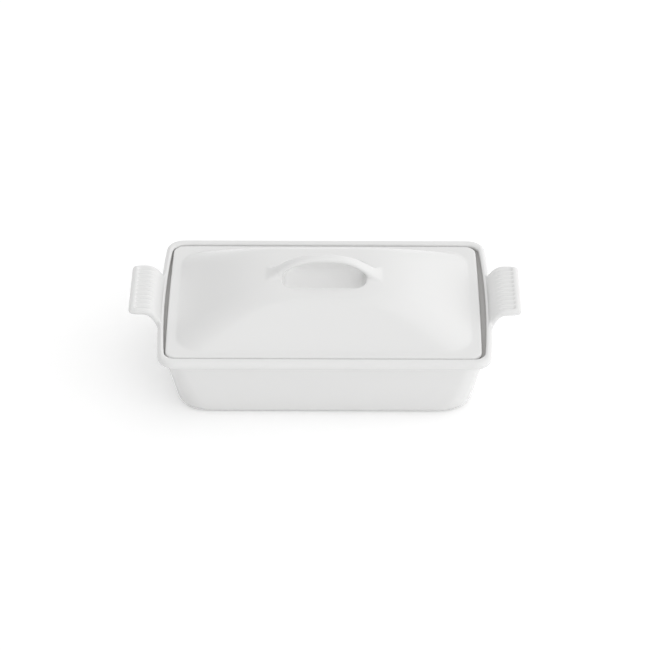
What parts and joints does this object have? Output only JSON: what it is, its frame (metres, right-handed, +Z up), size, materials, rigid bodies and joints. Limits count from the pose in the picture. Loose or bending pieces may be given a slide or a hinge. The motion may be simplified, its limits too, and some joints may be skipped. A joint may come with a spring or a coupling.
{
  "type": "casserole dish",
  "caption": "Oblong glazed stoneware baking dish with a rolled rim and rising grooved end handles, and a hipped lid with a strap loop handle over a finger recess.",
  "frame": {"origin": "on the table, under the centre of the dish", "axes": "+X along the length through the two handles, -Y towards the front, +Z up"},
  "size_m": [0.3854, 0.233, 0.1215],
  "materials": {
    "dish_glaze": "glossy white glaze",
    "lid_glaze": "glossy white glaze"
  },
  "bodies": {
    "root": {"dish": "dish_glaze", "lid": "lid_glaze"}
  },
  "joints": []
}
